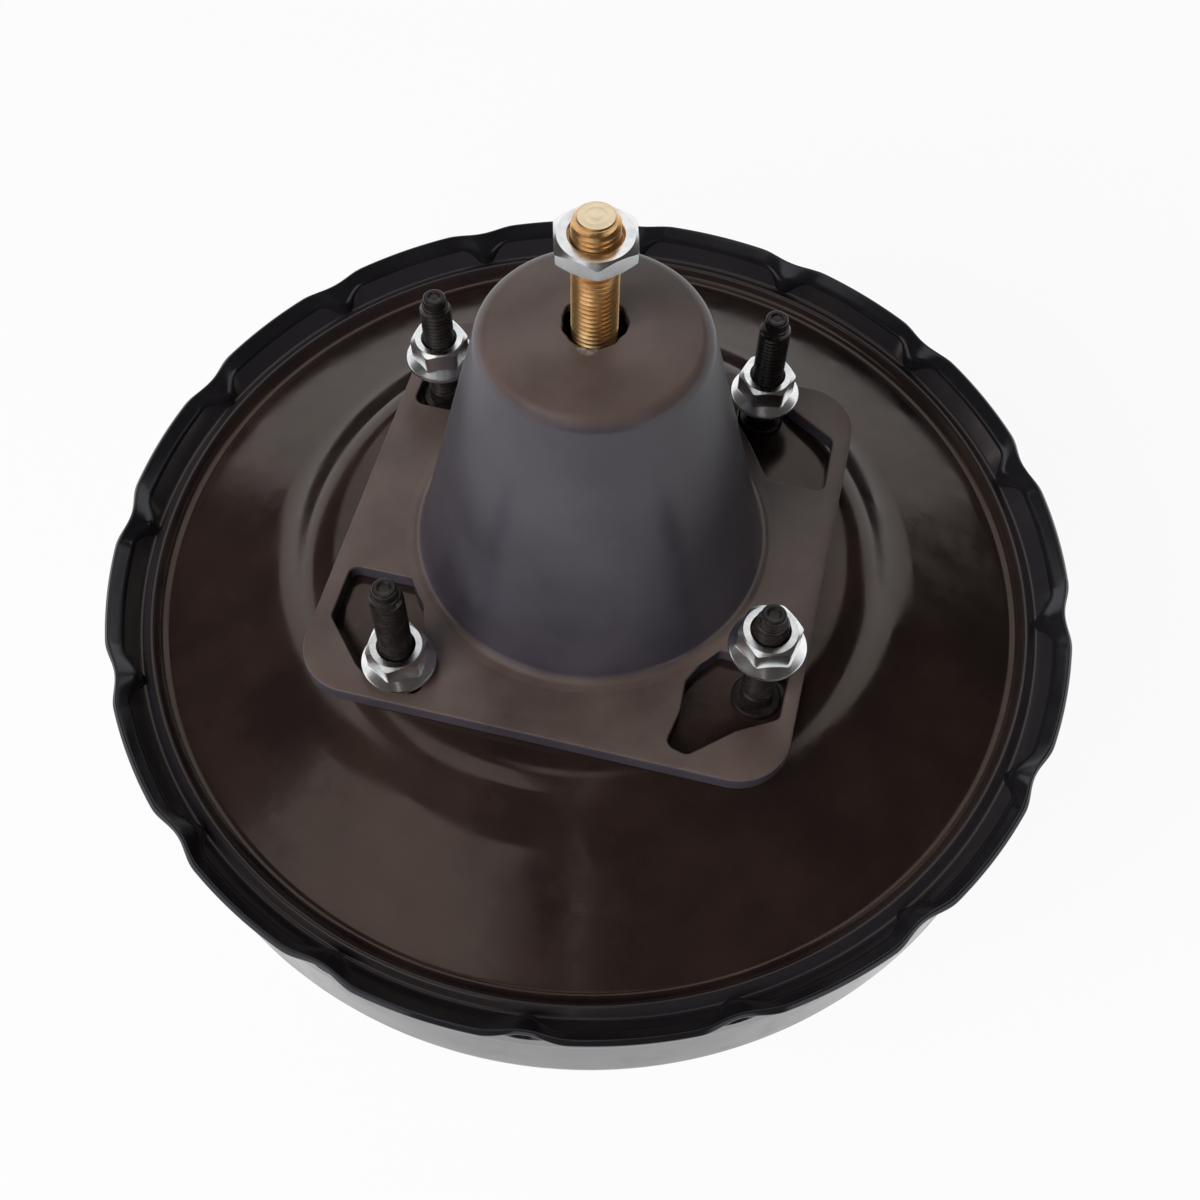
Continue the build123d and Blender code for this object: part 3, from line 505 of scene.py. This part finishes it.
def hexNut(n, turn):
    # forged hexagon whose flats end in arcs at the chamfers, with or without a flange
    flat, top, bore, sink = n["acrossFlats"] / 2, n["height"], n["bore"], n["sink"]
    washer = flat * 0.94  # the chamfers start here
    corner = flat / cos(pi / 6) - 0.18  # the corners are slightly blunt

    def profile(angle):
        hexR = min(flat / cos(angle % (pi / 3) - pi / 6), corner)
        chamfer = max(0.0, hexR - washer) * tan(radians(30))
        foot = [(washer, 0), (hexR, chamfer)]
        if "flange" in n:
            edge = n["flange"]
            coneZ = 1.5 + (edge - 0.4 - hexR) * 0.62
            foot = [
                (edge - 0.5, 0), (edge - 0.1, 0.25), (edge, 0.7), (edge - 0.1, 1.2), (edge - 0.4, 1.5),
                (hexR + 0.3, coneZ - 0.15), (hexR + 0.06, coneZ + 0.1), (hexR, coneZ + 0.45),
            ]
        return [(bore, sink), (bore + sink, 0), *foot, (hexR, top - chamfer), (washer, top),
                (bore + sink, top), (bore, top - sink)]

    rows = range(len(profile(0.0)))
    return moved(turnedMesh(rows, 96, closed=True, shape=lambda angle, i: profile(angle)[i]), turn=turn)


print("studs and nuts")
studSizes = {
    "spacing": 85.0, "pitch": 1.25, "crest": 3.96, "root": 3.3, "core": 3.28, "lead": 5.7, "length": 39.2,
    "point": 2.9, "pointLength": 2.6, "dimple": 1.7, "collar": 6.0, "collarHeight": 1.4,
    "head": 6.5, "headLow": -8.3, "headHigh": -4.8, "neck": 4.2, "shank": 4.0,
    "frontSpacing": 54.0, "frontEnd": -118.8, "frontPlate": 3.0, "frontHead": 3.0,
}
nutSizes = {"acrossFlats": 13.0, "height": 8.0, "flange": 8.9, "bore": 4.02, "sink": 0.6}
# side in x and in y, height of the foot in mm, turn in degrees
nutPlaces = [(-1, 1, 16.3, 12.0), (1, 1, 10.0, 3.0), (-1, -1, 6.0, 20.0), (1, -1, 24.4, 8.0)]


def firewallStud(s):
    # headed stud with a collar on the boss face; the core lies just inside the thread
    end, tip = s["length"], s["length"] - s["pointLength"]
    plain = roundedPath([
        (0, s["headLow"], 0), (s["head"], s["headLow"], 0.8), (s["head"], s["headHigh"], 0),
        (s["neck"], s["headHigh"], 0), (s["neck"], 0.02, 0), (s["collar"], 0.02, 0.2),
        (s["collar"], s["collarHeight"], 0.6), (s["shank"], s["collarHeight"] + 0.3, 0),
        (s["shank"], s["lead"] - 0.4, 0), (s["core"], s["lead"], 0), (s["core"], tip - 0.6, 0),
        (s["point"], tip, 0.1), (s["point"] - 0.1, end, 0.6), (s["dimple"], end - 0.02, 0.2),
        (s["dimple"] - 0.6, end - 0.28, 0.3), (0, end - 0.3, 0),
    ])
    return joined(turnedMesh(plain, 48),
                  threadSkin(s["crest"], s["root"], s["pitch"], s["lead"] - 0.3, tip - 0.3))


def masterStud(s):
    # headed stud through the front plate, for the master cylinder
    end = s["frontEnd"]
    face = shellSizes["rimZ"] - shellSizes["bossDrop"]
    plateTop = face + shellSizes["sheet"] + s["frontPlate"]
    headTop = plateTop + s["frontHead"]
    plain = roundedPath([
        (0, end, 0), (s["point"], end, 0.4), (s["core"], end + 1.0, 0), (s["core"], face - 2.0, 0),
        (s["shank"], face - 1.6, 0), (s["shank"], face, 0), (s["neck"], face, 0), (s["neck"], plateTop, 0),
        (s["head"], plateTop, 0), (s["head"], headTop, 0.6), (0, headTop, 0),
    ])
    return joined(turnedMesh(plain, 48),
                  threadSkin(s["crest"], s["root"], s["pitch"], end + 0.6, face - 1.8))


half = studSizes["spacing"] / 2
frontHalf = studSizes["frontSpacing"] / 2
for number, (x, y, z, turn) in enumerate(nutPlaces, 1):
    # each thread starts at another angle, as on screws that are pressed in
    stud = moved(firewallStud(studSizes), x * half, y * half, turn=73.0 * number)
    meshPiece(f"firewallStud_{number}", *stud, oxide, "housing", "black_oxide_steel",
              ["firewall_studs"], sharp=50.0)
    nut = moved(hexNut(nutSizes, turn), x * half, y * half, z)
    meshPiece(f"flangeNut_{number}", *nut, clearZinc, "housing", "clear_zinc",
              ["firewall_flange_nuts"], sharp=22.0)
    stud = moved(masterStud(studSizes), x * frontHalf, y * frontHalf, turn=41.0 * number)
    meshPiece(f"masterStud_{number}", *stud, oxide, "housing", "black_oxide_steel",
              ["master_cylinder_studs"], sharp=50.0)

print("input rod")
rodSizes = {
    "pitch": 1.25, "crest": 4.98, "root": 4.25, "core": 4.23, "end": 110.6, "threadLow": 52.0,
    "shank": 4.93, "shankLow": 49.6, "stem": 4.4, "stemHigh": 49.2, "neck": 3.6, "ball": 6.6, "ballZ": 7.0,
}
lockSizes = {"acrossFlats": 16.5, "height": 4.2, "bore": 5.0, "bottom": 101.8, "turn": 36.1, "sink": 0.8}


def inputRod(s):
    # push rod with a ball end; its faced outer end keeps two faint rings from the tool
    neck, core, end, radius = s["neck"], s["core"], s["end"], s["ball"]
    ballFoot = s["ballZ"] + sqrt(radius ** 2 - neck ** 2)
    ball = [(radius * cos(radians(a)), s["ballZ"] + radius * sin(radians(a))) for a in range(-84, 90, 6)]
    plain = [(0, s["ballZ"] - radius)] + [(r, z) for r, z in ball if z < ballFoot] + roundedPath([
        (neck, ballFoot, 0), (neck, ballFoot + 3.0, 1.0), (s["stem"], ballFoot + 5.0, 1.0),
        (s["stem"], s["stemHigh"], 0), (s["shank"], s["shankLow"], 0), (s["shank"], s["threadLow"] - 0.4, 0),
        (core, s["threadLow"], 0), (core, end - 0.8, 0), (core - 0.15, end - 0.25, 0.2),
        (core - 0.45, end, 0.25), (2.6, end - 0.01, 0), (2.4, end - 0.03, 0), (2.2, end - 0.01, 0),
        (1.3, end - 0.01, 0), (1.1, end - 0.03, 0), (0, end - 0.02, 0),
    ])
    return joined(turnedMesh(plain, 64),
                  threadSkin(s["crest"], s["root"], s["pitch"], s["threadLow"] - 0.3, end - 0.5, 64))


meshPiece("inputRodThreaded", *inputRod(rodSizes), yellowZinc, "pedal_rod", "yellow_zinc",
          ["input_rod"], sharp=50.0)
lockNut = moved(hexNut(lockSizes, lockSizes["turn"]), z=lockSizes["bottom"])
meshPiece("lockNutForged", *lockNut, clearZinc, "pedal_rod", "clear_zinc", ["rod_lock_nut"], sharp=22.0)

print("dust boot")
bootSizes = {
    "side": 118.6, "corner": 13.0, "turn": -9.85, "flange": 4.2, "edge": 0.5, "cutBend": 2.4,
    "baseR": 43.0, "baseBend": 2.6, "foot": 3.6, "topR": 25.2, "topBend": 4.2, "height": 78.3,
    "wall": 2.2, "crown": 3.0, "hole": 6.9, "tear": 0.45,
}
bootCuts = [  # one cut-out for each corner, as it lies when the corner is turned to +x +y
    [(28.0, 45.0), (28.0, 55.6), (38.0, 55.6), (43.0, 50.3), (54.7, 43.2), (54.9, 26.2), (40.4, 26.2),
     (34.0, 36.5)],
    [(28.0, 44.0), (28.0, 55.6), (38.0, 55.6), (44.0, 51.0), (54.5, 39.5), (54.5, 27.0), (40.0, 27.0),
     (34.0, 36.0)],
    [(28.0, 44.5), (28.0, 55.6), (38.5, 55.6), (44.5, 51.6), (54.9, 40.2), (54.9, 25.1), (37.7, 25.1),
     (34.2, 32.0), (31.8, 40.0)],
    [(26.2, 38.6), (27.2, 55.6), (40.8, 55.6), (46.4, 46.2), (55.2, 36.4), (53.8, 31.0), (44.2, 32.6),
     (36.4, 32.2), (29.4, 35.6)],
]


def roundedLoop(points, bend, steps=7):
    # closed polygon with every corner rounded, counter-clockwise
    area = sum(x0 * y1 - x1 * y0 for (x0, y0), (x1, y1) in zip(points, points[1:] + points[:1]))
    points = points if area > 0 else points[::-1]
    loop = []
    for i, point in enumerate(points):
        here = Vector(point)
        back = Vector(points[i - 1]) - here
        ahead = Vector(points[(i + 1) % len(points)]) - here
        half = back.angle(ahead) / 2
        reach = min(bend / tan(half), back.length * 0.45, ahead.length * 0.45)
        radius = reach * tan(half)
        back, ahead = back.normalized(), ahead.normalized()
        centre = here + (back + ahead).normalized() * (radius / sin(half))
        first, last = here + back * reach - centre, here + ahead * reach - centre
        for k in range(steps + 1):
            loop.append(centre + (first * (1 - k / steps) + last * (k / steps)).normalized() * radius)
    return loop


def shrunk(loop, gap):
    # each point moved inwards across its own stretch of a counter-clockwise loop
    result = []
    for i, here in enumerate(loop):
        along = (loop[(i + 1) % len(loop)] - loop[i - 1]).normalized()
        result.append(here + Vector((-along.y, along.x)) * gap)
    return result


def bootFlange(b):
    # moulded flange with its corner cut-outs, edges rounded off all round
    half = b["side"] / 2
    square = roundedLoop([(-half, -half), (half, -half), (half, half), (-half, half)], b["corner"], 14)
    loops = [(square, 1)]
    for quarter, cut in enumerate(bootCuts):
        turn = Matrix.Rotation(radians(90 * quarter), 2)
        loops.append(([turn @ p for p in roundedLoop(cut, b["cutBend"])], -1))
    seat = b["baseR"] + 1.0
    angles = [2 * pi * k / 96 for k in range(96)]
    loops.append(([Vector((seat * cos(a), seat * sin(a))) for a in angles], -1))
    levels = [(b["edge"] * 0.5, 0.0), (0.0, b["edge"] * 0.5)]
    for k in range(5):
        a = pi / 2 * k / 4
        levels.append((b["edge"] * (1 - cos(a)), b["flange"] - b["edge"] * (1 - sin(a))))
    mesh = bmesh.new()
    topEdges, lowEdges = [], []
    for loop, side in loops:
        rings = []
        for gap, z in levels:
            ring = shrunk(loop, gap * side)
            rings.append([mesh.verts.new((p.x * mm, p.y * mm, (z - originZ) * mm)) for p in ring])
        for lower, upper in zip(rings, rings[1:]):
            for i in range(len(lower)):
                j = (i + 1) % len(lower)
                corners = (lower[i], lower[j], upper[j], upper[i])
                mesh.faces.new(corners if side > 0 else corners[::-1])
        lowEdges += [mesh.edges.get((rings[0][i - 1], rings[0][i])) for i in range(len(rings[0]))]
        topEdges += [mesh.edges.get((rings[-1][i - 1], rings[-1][i])) for i in range(len(rings[-1]))]
    bmesh.ops.triangle_fill(mesh, edges=topEdges, use_beauty=True, normal=(0, 0, 1))
    bmesh.ops.triangle_fill(mesh, edges=lowEdges, use_beauty=True, normal=(0, 0, -1))
    bmesh.ops.recalc_face_normals(mesh, faces=mesh.faces)
    mesh.verts.index_update()
    result = [tuple(v.co) for v in mesh.verts], [tuple(v.index for v in f.verts) for f in mesh.faces]
    mesh.free()
    return moved(result, turn=b["turn"])


def bootCone(b):
    # moulded cone, closed inside and out, its crowned top pierced for the rod with a roughly trimmed edge
    slope = (b["baseR"] - b["topR"]) / (b["height"] - b["flange"])
    innerBase = b["baseR"] + slope * b["flange"] - b["wall"]
    innerTop = b["height"] - b["wall"]
    innerR = innerBase - slope * innerTop
    lip, rise, foot, seatZ = b["hole"], b["crown"], b["baseR"] + b["foot"], b["flange"] + 0.02
    top = b["height"] + rise * (1 - 0.3 * 2 * lip / b["topR"])
    rows = roundedPath([
        (lip, top - b["wall"], 0), (lip, top, 0.5), (b["topR"] / 2, b["height"] + 0.7 * rise, 30.0),
        (b["topR"], b["height"], b["topBend"]), (b["baseR"], seatZ, b["baseBend"]), (foot, seatZ, 0),
        (foot, 0.1, 0), (innerBase, 0.1, 0), (innerR, innerTop, 2.0),
        (innerR / 2, innerTop + 0.7 * rise, 30.0), (lip, top - b["wall"], 0),
    ])[:-1]

    def trimmed(angle, row):
        r, z = row
        rough = sin(3 * angle + 0.6) * 0.5 + sin(7 * angle + 2.1) * 0.3 + sin(13 * angle) * 0.2
        near = max(0.0, 1 - (r - lip) / 2.0)
        return r + b["tear"] * rough * near, z

    return turnedMesh(rows, 320, closed=True, shape=trimmed)


bootPieces = [
    meshPiece("bootFlangeMoulded", *bootFlange(bootSizes), rubber, "housing", "boot_rubber",
              ["dust_boot"], sharp=40.0),
    meshPiece("bootConeMoulded", *bootCone(bootSizes), rubber, "housing", "boot_rubber",
              ["dust_boot"], sharp=40.0),
]
# the piston's stroke in mm; each boot piece gets a mesh of its own
pistonStroke = 32.0
for piece in bootPieces:
    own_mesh(piece)

print("springs")
# each spring, wound at rest, with the joint that presses it and that joint's travel, which the coils don't
# follow
springSizes = {
    "returnSpringCoil": {
        "node": "return_spring", "body": "housing", "place": (0.0, 0.0), "meanR": 28.0, "wire": 3.6,
        "low": -90.0, "high": -20.7, "turns": 5.5, "joint": "piston_stroke", "travel": pistonStroke,
    },
    "inputReturnSpringCoil": {
        "node": "input_return_spring", "body": "power_piston", "place": (0.0, 0.0), "meanR": 8.8,
        "wire": 1.3, "low": 34.4, "high": 48.0, "turns": 3.5, "joint": "air_valve_travel", "travel": 1.8,
    },
    "checkValveSpringCoil": {
        "node": "check_valve_spring", "body": "housing", "place": (-61.18, -28.53), "meanR": 4.2,
        "wire": 0.7, "low": -99.8, "high": -92.1, "turns": 3.5, "joint": "check_disc_lift", "travel": 1.5,
    },
}


def coilSpring(c):
    # round wire wound at an even pitch
    rise = c["high"] - c["low"] - c["wire"]
    steps, ring = ceil(c["turns"] * 32), 12
    slope = rise / (2 * pi * c["turns"] * c["meanR"])
    vertices, faces = [], []
    for i in range(steps + 1):
        angle = 2 * pi * c["turns"] * i / steps
        out = Vector((cos(angle), sin(angle), 0))
        across = out.cross(Vector((-sin(angle), cos(angle), slope)).normalized())
        height = c["low"] + c["wire"] / 2 + rise * i / steps - originZ
        centre = out * c["meanR"] + Vector((*c["place"], height))
        for j in range(ring):
            b = 2 * pi * j / ring
            vertices.append(tuple((centre + (out * cos(b) + across * sin(b)) * (c["wire"] / 2)) * mm))
    for i in range(steps):
        for j in range(ring):
            k = (j + 1) % ring
            faces.append((i * ring + j, i * ring + k, (i + 1) * ring + k, (i + 1) * ring + j))
    faces += [tuple(range(ring)), tuple(steps * ring + j for j in range(ring))]
    return vertices, faces


for name, c in springSizes.items():
    spring = meshPiece(name, *coilSpring(c), springWire, c["body"], "spring_steel", [c["node"]], sharp=50.0)
    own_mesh(spring)

print("stage and camera")
stageSizes = {
    "floor": "#f4f4f4", "floorShown": 0.93, "floorSize": (6, 6), "floorGap": 0.0002,
    "fill": 0.55, "backdrop": 1.0,
    "keyPlace": (-0.6, -0.85, 0.82), "keySize": (1.1, 0.8), "keyPower": 25,
    "card": "#4a4441", "ceilingZ": 0.9,
    "ceiling": [  # corners of the cards overhead, in metres
        ((-2.6, 0.16), (2.6, 0.42)), ((-2.6, 0.42), (-0.5, 1.0)), ((0.4, 0.42), (2.6, 1.0)),
        ((-2.6, 1.0), (1.4, 1.5)), ((0.03, -2.4), (2.6, 0.16)), ((-2.6, -2.4), (-0.8, 0.16)),
        ((-0.8, -2.4), (0.0, -0.62)), ((-0.15, -0.62), (0.0, -0.02)), ((-0.8, -0.06), (-0.12, 0.16)),
    ],
    "front": ((0.15, -1.3, 0.2), (1.5, 0.8), (90, 0, 0)),  # place, size and turn of the upright card
}


def seenDirectly(tree):
    # 1 for what the camera sees, mirrored or through glass too, and 0 for light that falls on things
    rays = addNode(tree, "ShaderNodeLightPath").outputs
    seen = rays["Is Camera Ray"]
    for ray in ("Is Glossy Ray", "Is Transmission Ray"):
        seen = addNode(tree, "ShaderNodeMath", {"operation": "MAXIMUM"}, {0: seen, 1: rays[ray]}).outputs[0]
    return seen


def stageMaterial(name, shown, diffuse):
    # matt board; shown lifts what the camera sees of it towards paper white, with the shadow kept
    material, tree, shader, _ = newMaterial(name)
    shader.inputs["Base Color"].default_value = hexColour(diffuse)
    shader.inputs["Roughness"].default_value = 0.9
    glow = addNode(tree, "ShaderNodeEmission", {"Color": hexColour("#ffffff"), "Strength": 1.0})
    share = addNode(tree, "ShaderNodeMath", {"operation": "MULTIPLY", 1: shown}, {0: seenDirectly(tree)})
    mix = addNode(tree, "ShaderNodeMixShader",
                  links={0: share.outputs[0], 1: shader.outputs[0], 2: glow.outputs[0]})
    tree.links.new(mix.outputs[0], tree.nodes["Material Output"].inputs["Surface"])
    return material


def stagePlane(name, place, size, turn, material):
    mesh = bpy.data.meshes.new(name)
    w, h = size[0] / 2, size[1] / 2
    mesh.from_pydata([(-w, -h, 0), (w, -h, 0), (w, h, 0), (-w, h, 0)], [], [(0, 1, 2, 3)])
    plane = bpy.data.objects.new(name, mesh)
    scene.collection.objects.link(plane)
    plane.location = place
    plane.rotation_euler = [radians(a) for a in turn]
    mesh.materials.append(material)
    return plane


floor = stagePlane("floor", (0, 0, cadBounds[0][2] - stageSizes["floorGap"]), stageSizes["floorSize"],
                   (0, 0, 0), stageMaterial("whiteTable", stageSizes["floorShown"], stageSizes["floor"]))


def addWorld(s):
    # even white light all round that shows as a white backdrop
    world = bpy.data.worlds.new("studio")
    scene.world = world
    world.use_nodes = True
    tree = world.node_tree
    strength = addNode(tree, "ShaderNodeMapRange", {"To Min": s["fill"], "To Max": s["backdrop"]},
                       {"Value": seenDirectly(tree)})
    background = tree.nodes["Background"]
    background.inputs["Color"].default_value = hexColour("#ffffff")
    tree.links.new(strength.outputs["Result"], background.inputs["Strength"])


def addSoftbox(s):
    light = bpy.data.lights.new("keySoftbox", "AREA")
    light.shape = "RECTANGLE"
    light.size, light.size_y = s["keySize"]
    light.energy = s["keyPower"]
    lamp = bpy.data.objects.new("keySoftbox", light)
    scene.collection.objects.link(lamp)
    lamp.location = s["keyPlace"]
    lamp.rotation_euler = (-Vector(s["keyPlace"])).to_track_quat("-Z", "Y").to_euler()
    lamp.visible_glossy = False  # the gloss shows the windows between the cards instead


addWorld(stageSizes)
addSoftbox(stageSizes)

# dark cards round the table, as for any glossy black thing, with gaps that the gloss reflects as soft windows
cardLook = stageMaterial("darkCard", 0.0, stageSizes["card"])
cards = [(((x0 + x1) / 2, (y0 + y1) / 2, stageSizes["ceilingZ"]), (x1 - x0, y1 - y0), (0, 0, 0))
         for (x0, y0), (x1, y1) in stageSizes["ceiling"]]
for number, (place, size, turn) in enumerate([*cards, stageSizes["front"]], 1):
    card = stagePlane(f"darkCard_{number}", place, size, turn, cardLook)
    card.visible_camera = False

cameraSizes = {
    "place": (0.01243, -0.2071, 0.3066), "yaw": -2.70, "pitch": 58.67, "roll": 1.54, "lens": 43.98,
    "dustAndTopLightTone": 36.0,
}


def addCamera(c):
    # yaw turns from +y towards +x, pitch looks down, in degrees
    yaw, pitch, roll = radians(c["yaw"]), radians(c["pitch"]), radians(c["roll"])
    ahead = Vector((sin(yaw) * cos(pitch), cos(yaw) * cos(pitch), -sin(pitch)))
    right = Vector((cos(yaw), -sin(yaw), 0))
    up = right.cross(ahead)
    acrossAxis = cos(roll) * right + sin(roll) * up
    upAxis = cos(roll) * up - sin(roll) * right
    data = bpy.data.cameras.new("photoCamera")
    data.lens = c["lens"]
    data.sensor_width = c["dustAndTopLightTone"]
    data.clip_start = 0.01
    data.clip_end = 20
    camera = bpy.data.objects.new("photoCamera", data)
    scene.collection.objects.link(camera)
    turn = Matrix((acrossAxis, upAxis, -ahead)).transposed()
    camera.matrix_world = Matrix.Translation(Vector(c["place"])) @ turn.to_4x4()
    scene.camera = camera


addCamera(cameraSizes)
scene.view_settings.view_transform = "Standard"
print("finished scene")
